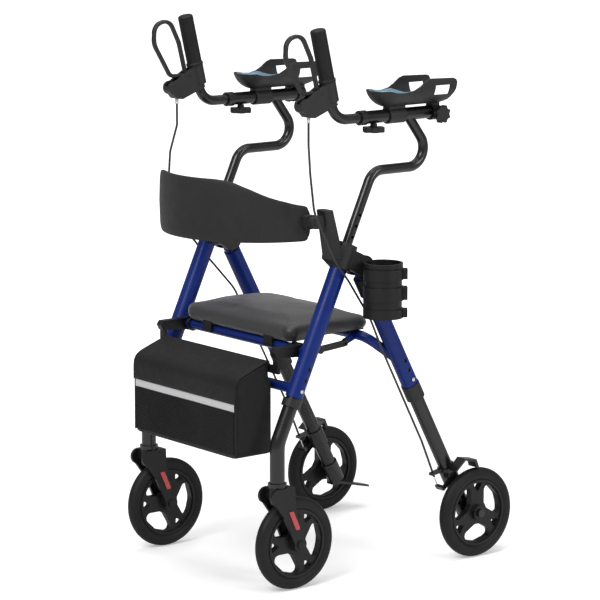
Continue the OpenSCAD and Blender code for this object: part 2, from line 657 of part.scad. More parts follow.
module grip() difference() {
  a = v4 + grip_dir * grip_s0;
  b = v4 + grip_dir * (grip_s0 + grip_len);
  round_r = 5;
  end = grip_len + 3;
  translate(a) rotate([acos(grip_dir[2]), 0, 0]) rotate_extrude()
    polygon(concat([[0, 0], [grip_d / 2 + 2, 0], [grip_d / 2 + 2, 4], [grip_d / 2, 7]],
      [for (t = [0 : 15 : 90]) [grip_d / 2 - round_r * (1 - cos(t)), end - round_r * (1 - sin(t))]],
      [[0, end]]));
  rod(a - grip_dir * 5, b - grip_dir * 6, post_od);
}

// moulded body clamped round the grip tube, with the lever fork in front
module brake_housing() difference() {
  union() {
    rod(v4 + grip_dir * 42, v4 + grip_dir * (grip_s0 - 0.5), post_od + 14);
    translate(v4 - [frame_x, 0, 0]) slab(frame_x - 13, frame_x + 13) polygon([[0, 34], [-18, 79], [-40, 76],
      [-80, 52], [-98, 44], [-96, 32], [-78, 12], [-62, 10]]);
    across(frame_x - 13, frame_x + 13, v4[1] - 84, bar_z + 36, 30);
  }
  bent(grip_line, 42, post_od + 2 * run_gap);
  slab(frame_x - lever_w / 2 - 0.6, frame_x + lever_w / 2 + 0.6) polygon([[lever_y + 10, bar_z + 40],
    [lever_y + 10, bar_z + 100], [lever_y - 86, bar_z + 100], [lever_y - 86, bar_z + 40]]);
  across(frame_x - 20, frame_x + 20, lever_y, lever_z, 6 + 2 * run_gap);
  rod(cable_top - [0, 0, 20], cable_top + [0, 0, slide_gap], 8 + 2 * slide_gap);
}

// closed loop of flat bar with a pivot eye
module brake_lever() {
  a = [frame_x, lever_y - 2, lever_z + 4];
  b = [frame_x, lever_y - 20, bar_z + 136];
  c = [frame_x, lever_y - 46, bar_z + 188];
  d = [frame_x, lever_y - 86, bar_z + 178];
  e = [frame_x, lever_y - 88, bar_z + 136];
  f = [frame_x, lever_y - 44, bar_z + 62];
  g = [frame_x, lever_y - 6.5, lever_z + 2];
  strap([a, b, c, d, e, f, g], [0, 40, 24, 24, 40, 16], 8, lever_w);
  across(frame_x - lever_w / 2 + 0.4, frame_x + lever_w / 2 - 0.4, lever_y, lever_z, 18);
  across(frame_x - 12.5, frame_x + 12.5, lever_y, lever_z, 6);
}

// trough with two wings, clamped on the sleeve by two brackets
module trough(r, y0, y1) {
  rod([frame_x, y0 + tray_r, tray_c], [frame_x, y1, tray_c], 2 * r);
  translate([frame_x, y0 + tray_r, tray_c]) sphere(r = r);
}

module tray() difference() {
  y = tray_y0;
  union() {
    intersection() {
      difference() {
        trough(tray_r, tray_y0, tray_y1);
        trough(tray_r - 3.5, tray_y0, tray_y1 + 1);
      }
      slab(frame_x - 60, frame_x + 60) polygon([[y - 2, tray_z - 2], [y - 2, tray_z + 36],
        [y + 26, tray_z + 37], [y + 42, tray_z + 32], [y + 62, tray_z + 31], [y + 88, tray_z + 36],
        [y + 104, tray_z + 44], [y + 119, tray_z + 55], [y + 130, tray_z + 59], [tray_y1 - 10, tray_z + 57],
        [tray_y1 - 3, tray_z + 54], [tray_y1, tray_z + 48], [tray_y1 - 2, tray_z + 30],
        [tray_y1 - 12, tray_z + 9], [tray_y1 - 24, tray_z + 2], [tray_y1 - 26, tray_z - 2]]);
    }
    for (p = [[y + 45, y + 90], [tray_y1 - 40, tray_y1 - 20]]) {
      rod([frame_x, p[0], bar_z], [frame_x, p[1], bar_z], sleeve_od + 8);
      translate([frame_x - 11, p[0], bar_z]) cube([22, p[1] - p[0], sleeve_od / 2 + 7]);
    }
    rod([frame_x, star_y, bar_z - 3], [frame_x + sleeve_od / 2 + 10, star_y, bar_z - 3], 14);
  }
  rod([frame_x, y, bar_z], [frame_x, tray_y1 + 5, bar_z], sleeve_od + 2 * slide_gap);
  for (x = [frame_x - 60, frame_x + 30])
    translate([x, tray_y1 - slot_y, tray_z + 22]) cube([30, slot_len, 21]);
  across(frame_x, frame_x + 60, star_y, bar_z - 3, 8 + 2 * run_gap);
}

module tray_pad() {
  y = tray_y0;
  intersection() {
    difference() {
      trough(tray_r - 3.8, tray_y0, tray_y1 - 30);
      trough(tray_r - 11, tray_y0, tray_y1);
    }
    slab(frame_x - 60, frame_x + 60) polygon([[y, tray_z - 2], [y, tray_z + 34], [y + 26, tray_z + 35],
      [y + 42, tray_z + 30], [y + 62, tray_z + 29], [y + 88, tray_z + 31], [y + 130, tray_z + 20],
      [tray_y1, tray_z + 20], [tray_y1, tray_z - 2]]);
  }
}

module thumb_knob() {
  translate([frame_x, knob_y, bar_z - 33]) lobed(48, 11, 6);
  rod([frame_x, knob_y, bar_z - 24], [frame_x, knob_y, bar_z - sleeve_od / 2 - 0.6], 15);
  rod([frame_x, knob_y, bar_z - 24], [frame_x, knob_y, bar_z - post_od / 2 - 0.6], 8);
}

module star_knob() {
  x = frame_x + sleeve_od / 2 + 10.5;
  translate([x, star_y, bar_z - 3]) rotate([0, 90, 0]) lobed(40, 13, 8);
  across(frame_x + sleeve_od / 2 + 0.8, x + 4, star_y, bar_z - 3, 8);
}

module front_collars() color(black) centred() both() front_collar();
module bag_hangers() color(black) centred() both() hanger();
module rear_collars() color(black) centred() both() rear_collar();

front_tubes();
color(black) centred() hub();  // hub_left
color(black) right() centred() hub();  // hub_right
front_collars();
bag_hangers();
bag();
bag_lid();
color(black) centred() cable();  // cable_left
color(black) right() centred() cable();  // cable_right
rear_tubes();
rear_collars();
cup_holder();
seat_board();
seat();
backrest_hinges();
backrest();
color(dark) centred() stay_front();  // stay_front_left
color(dark) right() centred() stay_front();  // stay_front_right
color(dark) centred() stay_rear();  // stay_rear_left
color(dark) right() centred() stay_rear();  // stay_rear_right
color(black) centred() front_lower_leg();  // front_lower_leg_left
color(black) right() centred() front_lower_leg();  // front_lower_leg_right
color(black) centred() rear_lower_leg();  // rear_lower_leg_left
color(black) right() centred() rear_lower_leg();  // rear_lower_leg_right
color(silver) centred() front_button();  // front_button_left
color(silver) right() centred() front_button();  // front_button_right
color(silver) centred() rear_button();  // rear_button_left
color(silver) right() centred() rear_button();  // rear_button_right
color(black) centred() caster_fork();  // caster_fork_left
color(black) right() centred() caster_fork();  // caster_fork_right
color(red) centred() caster_reflectors();  // caster_reflectors_left
color(red) right() centred() caster_reflectors();  // caster_reflectors_right
color(black) centred() caster_rim();  // caster_rim_left
color(black) right() centred() caster_rim();  // caster_rim_right
color(black) centred() caster_tyre();  // caster_tyre_left
color(black) right() centred() caster_tyre();  // caster_tyre_right
color(black) centred() rear_rim();  // rear_rim_left
color(black) right() centred() rear_rim();  // rear_rim_right
color(black) centred() rear_tyre();  // rear_tyre_left
color(black) right() centred() rear_tyre();  // rear_tyre_right
color(black) centred() brake_arm();  // brake_arm_left
color(black) right() centred() brake_arm();  // brake_arm_right
color(black) centred() handle_post();  // handle_post_left
color(black) right() centred() handle_post();  // handle_post_right
color(black) centred() grip_tube();  // grip_tube_left
color(black) right() centred() grip_tube();  // grip_tube_right
color(black) centred() grip();  // grip_left
color(black) right() centred() grip();  // grip_right
color(black) centred() brake_housing();  // brake_housing_left
color(black) right() centred() brake_housing();  // brake_housing_right
color(black) centred() brake_lever();  // brake_lever_left
color(black) right() centred() brake_lever();  // brake_lever_right
color(black) centred() tray();  // tray_left
color(black) right() centred() tray();  // tray_right
color(gel) centred() tray_pad();  // tray_pad_left
color(gel) right() centred() tray_pad();  // tray_pad_right
color(black) centred() thumb_knob();  // thumb_knob_left
color(black) right() centred() thumb_knob();  // thumb_knob_right
color(black) centred() star_knob();  // star_knob_left
color(black) right() centred() star_knob();  // star_knob_right
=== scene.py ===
import json
import math

import bmesh
import bpy
import numpy as np
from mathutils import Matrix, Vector

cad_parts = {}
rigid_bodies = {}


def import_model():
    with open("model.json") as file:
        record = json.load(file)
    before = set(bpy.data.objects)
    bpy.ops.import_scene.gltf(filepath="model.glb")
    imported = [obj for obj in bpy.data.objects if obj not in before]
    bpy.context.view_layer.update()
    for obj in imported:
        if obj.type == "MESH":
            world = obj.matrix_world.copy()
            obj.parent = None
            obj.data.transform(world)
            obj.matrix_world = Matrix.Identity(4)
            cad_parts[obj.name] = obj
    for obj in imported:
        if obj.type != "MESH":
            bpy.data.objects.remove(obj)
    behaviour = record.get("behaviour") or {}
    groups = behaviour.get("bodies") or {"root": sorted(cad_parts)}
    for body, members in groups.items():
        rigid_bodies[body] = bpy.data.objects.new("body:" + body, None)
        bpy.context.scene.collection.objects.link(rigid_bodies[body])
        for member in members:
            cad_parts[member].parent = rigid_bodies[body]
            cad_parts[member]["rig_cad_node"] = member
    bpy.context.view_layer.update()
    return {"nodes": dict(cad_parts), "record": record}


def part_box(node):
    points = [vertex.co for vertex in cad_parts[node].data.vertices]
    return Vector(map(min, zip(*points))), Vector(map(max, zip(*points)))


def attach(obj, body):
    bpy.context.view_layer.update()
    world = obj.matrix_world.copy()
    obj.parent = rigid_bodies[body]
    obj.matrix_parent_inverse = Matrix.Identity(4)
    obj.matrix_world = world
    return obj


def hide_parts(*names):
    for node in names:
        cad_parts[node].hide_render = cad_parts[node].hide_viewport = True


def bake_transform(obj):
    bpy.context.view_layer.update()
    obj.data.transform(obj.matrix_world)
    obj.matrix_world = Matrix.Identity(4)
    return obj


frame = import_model()
nodes = frame["nodes"]
scene = bpy.context.scene


# Camera, stage and light, in metres in the part's frame. The camera was fitted to the photo.
CAMERA_PLACE = (5.1721, -4.1354, 1.7502)
CAMERA_TARGET = (0, -0.0407, 0.5775)
CAMERA_LENS = 180.2
FLOOR_HALF = 30
FLOOR_GREY = (0.86, 0.86, 0.86, 1)
ROOM_GREY = (0.34, 0.34, 0.35, 1)
WHITE = (1, 1, 1, 1)
# the floor's glow for the camera grows from low to high between these distances from the origin
GLOW_NEAR, GLOW_FAR = 0.9, 3.0
GLOW_LOW, GLOW_HIGH = 0.30, 1.0


def look_at(obj, target):
    obj.rotation_mode = "QUATERNION"
    obj.rotation_quaternion = (Vector(target) - obj.location).to_track_quat("-Z", "Y")


cam = bpy.data.objects.new("camera", bpy.data.cameras.new("camera"))
scene.collection.objects.link(cam)
cam.location = CAMERA_PLACE
look_at(cam, CAMERA_TARGET)
cam.data.lens = CAMERA_LENS
cam.data.sensor_width = 36
cam.data.clip_end = 100
scene.camera = cam

scene.view_settings.view_transform = "Standard"


def material(name):
    m = bpy.data.materials.new(name)
    m.use_nodes = True
    t = m.node_tree
    return m, t, t.nodes["Principled BSDF"]


def put(node, values):
    """Sets a node's inputs by name."""
    for k, v in values.items():
        node.inputs[k].default_value = v


def add(t, kind, **values):
    """New node, with its inputs or its settings by name."""
    n = t.nodes.new(kind)
    for k, v in values.items():
        if k in n.inputs:
            n.inputs[k].default_value = v
        else:
            setattr(n, k, v)
    return n


floor_mesh = bpy.data.meshes.new("floor")
bm = bmesh.new()
bmesh.ops.create_grid(bm, x_segments=1, y_segments=1, size=FLOOR_HALF)
bm.to_mesh(floor_mesh)
bm.free()
floor = bpy.data.objects.new("floor", floor_mesh)
scene.collection.objects.link(floor)
fm, ft, fb = material("floor_white")
put(fb, {"Base Color": FLOOR_GREY, "Roughness": 0.6, "Specular IOR Level": 0.1, "Emission Color": WHITE})
# the camera sees a floor that glows to white away from the object, and keeps the shadow beneath it
path = add(ft, "ShaderNodeLightPath")
place = add(ft, "ShaderNodeTexCoord")
away = add(ft, "ShaderNodeVectorMath", operation="LENGTH")
ft.links.new(place.outputs["Object"], away.inputs[0])
fade = add(ft, "ShaderNodeMapRange", interpolation_type="SMOOTHSTEP")
put(fade, {"From Min": GLOW_NEAR, "From Max": GLOW_FAR, "To Min": GLOW_LOW, "To Max": GLOW_HIGH})
ft.links.new(away.outputs["Value"], fade.inputs["Value"])
glow = add(ft, "ShaderNodeMath", operation="MULTIPLY")
ft.links.new(path.outputs["Is Camera Ray"], glow.inputs[0])
ft.links.new(fade.outputs["Result"], glow.inputs[1])
ft.links.new(glow.outputs[0], fb.inputs["Emission Strength"])
floor_mesh.materials.append(fm)

world = bpy.data.worlds.new("studio")
scene.world = world
world.use_nodes = True
wt = world.node_tree
wb = wt.nodes["Background"]
# the camera sees white behind the floor, and everything else is lit by a grey room
wp = add(wt, "ShaderNodeLightPath")
mix = add(wt, "ShaderNodeMix", data_type="RGBA")
wt.links.new(wp.outputs["Is Camera Ray"], mix.inputs["Factor"])
put(mix, {"A": ROOM_GREY, "B": WHITE})
wt.links.new(mix.outputs["Result"], wb.inputs["Color"])
put(wb, {"Strength": 1.0})


def lamp(name, place, target, size, power):
    d = bpy.data.lights.new(name, "AREA")
    d.shape = "RECTANGLE"
    d.size, d.size_y = size
    d.energy = power
    o = bpy.data.objects.new(name, d)
    scene.collection.objects.link(o)
    o.location = place
    look_at(o, target)


lamp("key", (1.2, -3.4, 3.6), (0, 0, 0.6), (2.0, 2.0), 130)
lamp("top", (0.0, 0.2, 4.0), (0, 0, 0.4), (3.0, 3.0), 100)
lamp("side", (3.6, 1.2, 2.2), (0, 0, 0.6), (0.7, 2.4), 50)


# Materials
def coords(t):
    return add(t, "ShaderNodeTexCoord").outputs["Object"]


def ramp(t, source, low, high, a=0.35, b=0.65):
    """Maps a source from a..b to low..high."""
    r = add(t, "ShaderNodeMapRange")
    put(r, {"From Min": a, "From Max": b, "To Min": low, "To Max": high})
    t.links.new(source, r.inputs["Value"])
    return r.outputs["Result"]


def tint(t, b, source, dark, light):
    """Base colour that goes from dark to light with a source of 0 to 1."""
    r = add(t, "ShaderNodeMix", data_type="RGBA")
    put(r, {"A": (*dark, 1), "B": (*light, 1)})
    t.links.new(source, r.inputs["Factor"])
    t.links.new(r.outputs["Result"], b.inputs["Base Color"])


def noise(t, scale, detail=3.0, rough=0.55):
    n = add(t, "ShaderNodeTexNoise", Scale=scale, Detail=detail, Roughness=rough)
    t.links.new(coords(t), n.inputs["Vector"])
    return n.outputs["Fac"]


def clouds(t, scale):
    """Broad noise, stretched to 0 to 1, for the change of colour over a surface."""
    return ramp(t, noise(t, scale, 4.0), 0, 1)


def cells(t, scale, **kind):
    v = add(t, "ShaderNodeTexVoronoi", Scale=scale, **kind)
    t.links.new(coords(t), v.inputs["Vector"])
    return v.outputs["Distance"]


def wave(t, scale, direction):
    w = add(t, "ShaderNodeTexWave", Scale=scale, bands_direction=direction)
    t.links.new(coords(t), w.inputs["Vector"])
    return w.outputs["Fac"]


def bump(t, b, source, strength, distance, edge=0.0):
    """Fine relief, over a bevel that softens sharp edges where edge is given."""
    n = add(t, "ShaderNodeBump", Strength=strength, Distance=distance)
    t.links.new(source, n.inputs["Height"])
    if edge:
        e = add(t, "ShaderNodeBevel", samples=4, Radius=edge)
        t.links.new(e.outputs["Normal"], n.inputs["Normal"])
    t.links.new(n.outputs["Normal"], b.inputs["Normal"])


def rough_from(t, b, source, low, high):
    t.links.new(ramp(t, source, low, high), b.inputs["Roughness"])


BROAD = 6.0


def simple(name, dark, light, rough, scale, strength, distance, metallic=0.0, coat=0.0, spec=0.5, edge=0.0):
    """Paint, plastic, rubber or metal: two tones, a range of roughness and a fine relief of that scale."""
    m, t, b = material(name)
    tint(t, b, clouds(t, BROAD), dark, light)
    rough_from(t, b, noise(t, BROAD * 3, 4.0), *rough)
    put(b, {"Metallic": metallic, "Coat Weight": coat, "Coat Roughness": 0.12, "Specular IOR Level": spec})
    bump(t, b, noise(t, scale), strength, distance, edge)
    return m


mats = {}
mats["blue_paint"] = simple("blue_paint", (0.002, 0.0145, 0.124), (0.004, 0.019, 0.155), (0.34, 0.42), 2600,
                            strength=0.06, distance=0.0001, coat=0.08, spec=0.20)
mats["black_paint"] = simple("black_paint", (0.0045, 0.0045, 0.0048), (0.007, 0.007, 0.0074), (0.24, 0.32),
                             1800, strength=0.08, distance=0.0001, coat=0.18, spec=0.42)
mats["black_plastic"] = simple("black_plastic", (0.009, 0.009, 0.0095), (0.014, 0.014, 0.0145), (0.46, 0.56),
                               1500, strength=0.14, distance=0.0003, spec=0.38, edge=0.0016)
mats["stay_steel"] = simple("stay_steel", (0.008, 0.008, 0.0085), (0.013, 0.013, 0.014), (0.32, 0.42), 1600,
                            strength=0.08, distance=0.0002, metallic=0.2, edge=0.0008)
mats["tyre"] = simple("tyre_rubber", (0.0045, 0.0045, 0.005), (0.0075, 0.0075, 0.008), (0.50, 0.64),
                      700, strength=0.14, distance=0.0005, spec=0.26)
mats["cable_skin"] = simple("cable_skin", (0.012, 0.012, 0.0125), (0.018, 0.018, 0.019), (0.40, 0.48), 1800,
                            strength=0.08, distance=0.0001)
mats["steel"] = simple("bright_steel", (0.55, 0.55, 0.56), (0.68, 0.68, 0.69), (0.22, 0.34), 900,
                       strength=0.06, distance=0.0001, metallic=1.0)


def grip_material():
    m, t, b = material("grip_rubber")
    tint(t, b, clouds(t, 9), (0.004, 0.004, 0.0045), (0.007, 0.007, 0.0075))
    rough_from(t, b, noise(t, 40), 0.55, 0.68)
    put(b, {"Specular IOR Level": 0.3})
    bump(t, b, cells(t, 620.0), 0.25, 0.0006)
    return m


def vinyl_material():
    m, t, b = material("seat_vinyl")
    grain = ramp(t, cells(t, 700.0, feature="DISTANCE_TO_EDGE"), 0, 1, 0.0, 0.35)
    # broad folds, five times as high as the grain
    both = add(t, "ShaderNodeMath", operation="MULTIPLY_ADD")
    t.links.new(noise(t, 14, 3.0, 0.5), both.inputs[0])
    both.inputs[1].default_value = 5.0
    t.links.new(grain, both.inputs[2])
    tint(t, b, clouds(t, 5), (0.007, 0.007, 0.0076), (0.011, 0.011, 0.0118))
    rough_from(t, b, noise(t, 22, 4.0), 0.32, 0.42)
    put(b, {"Specular IOR Level": 0.42, "Sheen Weight": 0.34})
    bump(t, b, both.outputs[0], 0.18, 0.0007)
    return m


def weave(t, scale):
    """Threads along z, crossed by those along x or y."""
    across = add(t, "ShaderNodeMath", operation="MAXIMUM")
    t.links.new(wave(t, scale, "X"), across.inputs[0])
    t.links.new(wave(t, scale, "Y"), across.inputs[1])
    both = add(t, "ShaderNodeMath", operation="MULTIPLY")
    t.links.new(wave(t, scale, "Z"), both.inputs[0])
    t.links.new(across.outputs[0], both.inputs[1])
    return both.outputs[0]


def cloth_material(name, dark, light, scale, strength, rough, sheen):
    m, t, b = material(name)
    tint(t, b, clouds(t, 7), dark, light)
    rough_from(t, b, noise(t, 60), *rough)
    put(b, {"Sheen Weight": sheen, "Sheen Roughness": 0.5, "Specular IOR Level": 0.22})
    bump(t, b, weave(t, scale), strength, 0.0005)
    return m


def gel_material():
    m, t, b = material("gel_skin")
    tint(t, b, clouds(t, 30), (0.10, 0.18, 0.24), (0.15, 0.25, 0.32))
    rough_from(t, b, noise(t, 80), 0.24, 0.36)
    put(b, {"Subsurface Weight": 0.15, "Subsurface Radius": (0.004, 0.006, 0.008), "Coat Weight": 0.3})
    bump(t, b, noise(t, 900), 0.08, 0.0003)
    return m


def reflector_material():
    m, t, b = material("reflector_red")
    prisms = cells(t, 420.0, distance="CHEBYCHEV")
    tint(t, b, ramp(t, prisms, 0, 1, 0.1, 0.6), (0.30, 0.005, 0.006), (0.46, 0.012, 0.012))
    put(b, {"Roughness": 0.16, "Coat Weight": 0.8})
    bump(t, b, prisms, 0.3, 0.0006)
    return m


def strip_material():
    m, t, b = material("pale_strip")
    lines = wave(t, 260.0, "DIAGONAL")
    tint(t, b, ramp(t, lines, 0, 1, 0.2, 0.8), (0.44, 0.44, 0.445), (0.54, 0.54, 0.545))
    put(b, {"Roughness": 0.45})
    bump(t, b, lines, 0.15, 0.0003)
    return m


mats["grip_rubber"] = grip_material()
mats["seat_vinyl"] = vinyl_material()
mats["backrest_fabric"] = cloth_material("backrest_fabric", (0.014, 0.014, 0.0145), (0.019, 0.019, 0.0195),
                                         scale=520, strength=0.12, rough=(0.58, 0.70), sheen=0.05)
mats["bag_fabric"] = cloth_material("bag_fabric", (0.006, 0.006, 0.0065), (0.009, 0.009, 0.0095),
                                    scale=420, strength=0.16, rough=(0.55, 0.68), sheen=0.02)
mats["gel"] = gel_material()
mats["reflector"] = reflector_material()
pale = strip_material()
ribbed = simple("bag_rib_cloth", (0.005, 0.005, 0.0055), (0.008, 0.008, 0.0085), (0.60, 0.72), 1400,
                strength=0.08, distance=0.0002, spec=0.2)

# a darker and smoother plastic, for the nodes whose names start with one of SMOOTH
smooth_plastic = simple("smooth_plastic", (0.004, 0.004, 0.0044), (0.007, 0.007, 0.0074), (0.38, 0.48), 1500,
                        strength=0.12, distance=0.0003, spec=0.30, edge=0.0012)
SMOOTH = ("cup_holder", "bag_hangers", "seat_board", "caster_rim", "rear_rim", "caster_fork")

for part in frame["record"]["subparts"]:
    o = nodes[part["node"]]
    is_smooth = part["node"].startswith(SMOOTH)
    o.data.materials.clear()
    o.data.materials.append(smooth_plastic if is_smooth else mats[part["material_slot"]])


# Mesh helpers
def make(name, verts, faces, mat):
    """New piece with one material, its doubled points merged and its faces turned outwards."""
    me = bpy.data.meshes.new(name)
    me.from_pydata([tuple(v) for v in verts], [], faces)
    me.update()
    b = bmesh.new()
    b.from_mesh(me)
    bmesh.ops.remove_doubles(b, verts=b.verts, dist=1e-6)
    bmesh.ops.recalc_face_normals(b, faces=b.faces)
    b.to_mesh(me)
    b.free()
    me.materials.append(mat)
    o = bpy.data.objects.new(name, me)
    scene.collection.objects.link(o)
    return o


def loft(name, loops, mat, open_end=False):
    """Closed loops of the same count, joined in order, with a fan at each end or only at the first."""
    n = len(loops[0])
    verts = [p for l in loops for p in l]
    faces = []
    for i in range(len(loops) - 1):
        for j in range(n):
            k = (j + 1) % n
            faces.append((i * n + j, i * n + k, (i + 1) * n + k, (i + 1) * n + j))
    for i in (0,) if open_end else (0, len(loops) - 1):
        verts.append(tuple(np.mean(np.array(loops[i]), axis=0)))
        for j in range(n):
            faces.append((i * n + j, i * n + (j + 1) % n, len(verts) - 1))
    return make(name, verts, faces, mat)


def apply_all(o):
    bpy.context.view_layer.objects.active = o
    for m in list(o.modifiers):
        with bpy.context.temp_override(object=o, active_object=o, selected_objects=[o]):
            bpy.ops.object.modifier_apply(modifier=m.name)


def subdivide(o):
    m = o.modifiers.new("sub", "SUBSURF")
    m.levels = m.render_levels = 1
    apply_all(o)


def thicken(o, thick, offset):
    m = o.modifiers.new("thick", "SOLIDIFY")
    m.thickness = thick
    m.offset = offset
    apply_all(o)


def tube(name, line, r, mat, sides=12):
    """Round tube of radius r along a line of points."""
    pts = [Vector(p) for p in line]
    loops = []
    ref = None
    for i, p in enumerate(pts):
        d = (pts[min(i + 1, len(pts) - 1)] - pts[max(i - 1, 0)]).normalized()
        if ref is None:
            ref = d.orthogonal().normalized()
        ref = (ref - d * ref.dot(d)).normalized()
        s = d.cross(ref)
        turns = [2 * math.pi * j / sides for j in range(sides)]
        loops.append([tuple(p + (ref * math.cos(a) + s * math.sin(a)) * r) for a in turns])
    return loft(name, loops, mat)


def panel(name, rows, cols, mat, thick=0.0):
    """Sheet through rows of points, each row with cols + 1 points."""
    verts = [p for r in rows for p in r]
    faces = []
    for r in range(len(rows) - 1):
        for i in range(cols):
            a = r * (cols + 1) + i
            faces.append((a, a + 1, a + cols + 2, a + cols + 1))
    o = make(name, verts, faces, mat)
    if thick:
        thicken(o, thick, 0)
    return o


def points_of(o):
    co = np.zeros(len(o.data.vertices) * 3)
    o.data.vertices.foreach_get("co", co)
    return co.reshape(-1, 3)


def set_points(o, co):
    o.data.vertices.foreach_set("co", np.asarray(co, np.float32).ravel())
    o.data.update()


def share(value):
    """A value held between 0 and 1."""
    return min(1, max(0, value))


def bulged(value, power):
    """Sine or cosine with its corners filled out by a power below 1."""
    return math.copysign(abs(value) ** power, value)


SPACING = 0.012


def rounded(x0, x1, y0, y1, r, n=10):
    """Outline of a rectangle with rounded corners, as (x, y) points about SPACING apart."""
    pts = []
    corners = ((x1 - r, y1 - r, 0), (x0 + r, y1 - r, 90), (x0 + r, y0 + r, 180), (x1 - r, y0 + r, 270))
    for cx, cy, a in corners:
        for i in range(n + 1):
            t = math.radians(a + 90 * i / n)
            pts.append((cx + r * math.cos(t), cy + r * math.sin(t)))
    out = []
    for i, p in enumerate(pts):
        q = pts[(i + 1) % len(pts)]
        out.append(p)
        d = math.dist(p, q)
        steps = int(d / SPACING)
        for s in range(1, steps):
            out.append((p[0] + (q[0] - p[0]) * s / steps, p[1] + (q[1] - p[1]) * s / steps))
    return out


def puff(o, pressure, frames, cap, keep):
    """Swells a closed mesh as cloth, each point by at most cap and by the share of it that keep gives."""
    before = points_of(o)
    m = o.modifiers.new("cloth", "CLOTH")
    s = m.settings
    s.use_pressure = True
    s.uniform_pressure_force = pressure
    s.effector_weights.gravity = 0
    s.tension_stiffness = 18
    s.compression_stiffness = 18
    s.bending_stiffness = 2.0
    s.quality = 5
    m.collision_settings.use_self_collision = False
    m.point_cache.frame_start = 1
    m.point_cache.frame_end = frames
    for f in range(1, frames + 1):
        scene.frame_set(f)
    dg = bpy.context.evaluated_depsgraph_get()
    e = o.evaluated_get(dg)
    after = np.zeros(len(o.data.vertices) * 3)
    e.data.vertices.foreach_get("co", after)
    after = after.reshape(-1, 3)
    o.modifiers.remove(m)
    scene.frame_set(1)
    move = after - before
    far = np.linalg.norm(move, axis=1, keepdims=True)
    move *= np.minimum(1, cap / np.maximum(far, 1e-9))
    move *= keep(before)[:, None]
    set_points(o, before + move)


# Sizes along y below are taken from the front axles, and MY brings them into the part's frame.
MY = -0.2445
# middle of each side frame, and of the tray and the cable on it
FRAME_X = 0.236


# Seat cushion. SEAT_FOOT and SEAT_HEAD are its side in section, as (inset, height): the lower part is
# measured from the underside, and the upper part from the top's edge.
SEAT_MARGIN = 0.001
SEAT_BELOW, SEAT_EDGE = 0.0035, 0.0045
SEAT_FOOT = ((0.012, 0.0005), (0.008, 0.0025), (0.0045, 0.007), (0.0015, 0.0125), (0.0, 0.018))
SEAT_HEAD = ((0.0008, -0.013), (0.0032, -0.0075), (0.0075, -0.0030), (0.0140, 0.0))
SEAT_CORNER, CORNER_LEAST = 0.026, 0.012
SEAT_CROWN, CROWN_RINGS = 0.0095, 9
SEAT_SKIRT, SKIRT_TALL = 0.0075, 0.016
SKIRT_REACH, SKIRT_FADE = 0.075, 0.022
SWELL_FROM, SWELL_FADE = 0.0045, 0.012
WAVE_HIGH, WAVE_RATE, WAVE_FROM, WAVE_FADE = 0.0015, 55, 0.16, 0.03


def seat_cushion():
    """Crowned pad, swelled as cloth, whose cover hangs below the board in front."""
    lo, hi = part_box("seat")
    z0 = lo.z - SEAT_BELOW
    top = hi.z - SEAT_EDGE
    y0, y1 = lo.y + SEAT_MARGIN, hi.y - SEAT_MARGIN
    x1 = hi.x - SEAT_MARGIN
    loops = []
    for inset, z in [(i, z0 + h) for i, h in SEAT_FOOT] + [(i, top + h) for i, h in SEAT_HEAD]:
        r = max(SEAT_CORNER - inset, CORNER_LEAST)
        loops.append([(x, y, z) for x, y in rounded(-x1 + inset, x1 - inset, y0 + inset, y1 - inset, r)])
    base = np.array(loops[-1])
    centre = np.array([0, (y0 + y1) / 2])
    for i in range(1, CROWN_RINGS):
        t = 1 - i / CROWN_RINGS
        ring = base.copy()
        ring[:, :2] = centre + (base[:, :2] - centre) * t
        ring[:, 2] = top + SEAT_CROWN * (1 - t ** 2.2)
        loops.append([tuple(p) for p in ring])
    # the cover hangs below the board in front, and leaves room behind for the seat bar, open and folded
    hang = []
    for ring in loops:
        drop = [SEAT_SKIRT * share((y0 + SKIRT_REACH - y) / SKIRT_FADE) for x, y, z in ring]
        hang.append([(x, y, z - d * max(0, 1 - (z - z0) / SKIRT_TALL)) for d, (x, y, z) in zip(drop, ring)])
    o = loft("seat_cushion", hang, mats["seat_vinyl"])

    def keep(p):
        """The underside stays flat, and the swelling grows to its full share above it."""
        return np.clip((p[:, 2] - z0 - SWELL_FROM) / SWELL_FADE, 0, 1)

    puff(o, pressure=3.0, frames=16, cap=0.004, keep=keep)
    co = points_of(o)
    # slight waves along the two sides
    outer = np.clip((np.abs(co[:, 0]) - WAVE_FROM) / WAVE_FADE, 0, 1)
    co[:, 0] += WAVE_HIGH * np.sin(co[:, 1] * WAVE_RATE) * outer * np.sign(co[:, 0])
    set_points(o, co)
    subdivide(o)
    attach(o, "seat")
    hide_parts("seat")


seat_cushion()


# Backrest band: in plan an arc about BACK_CENTRE, whose ends lie at BACK_END. Its middle line runs BACK_HALF
# behind the CAD band's front, and BACK_PAD is half its thickness. Its top edge drops by BACK_TOP_Z at
# BACK_TOP_X from the middle.
BACK_CENTRE, BACK_END = 0.088, 0.0635
BACK_HALF, BACK_PAD = 0.0085, 0.0083
BACK_ROUND, BACK_TAPER = 0.014, 0.012
BACK_MARGIN = 0.0005
BACK_STEPS, BACK_SIDES = 96, 28
BACK_TOP_X = [0, 0.09, 0.112, 0.130, 0.156, 0.177, 0.195, 0.206, 0.23]
BACK_TOP_Z = [0.0, 0.0, -0.002, -0.007, -0.021, -0.036, -0.048, -0.058, -0.068]


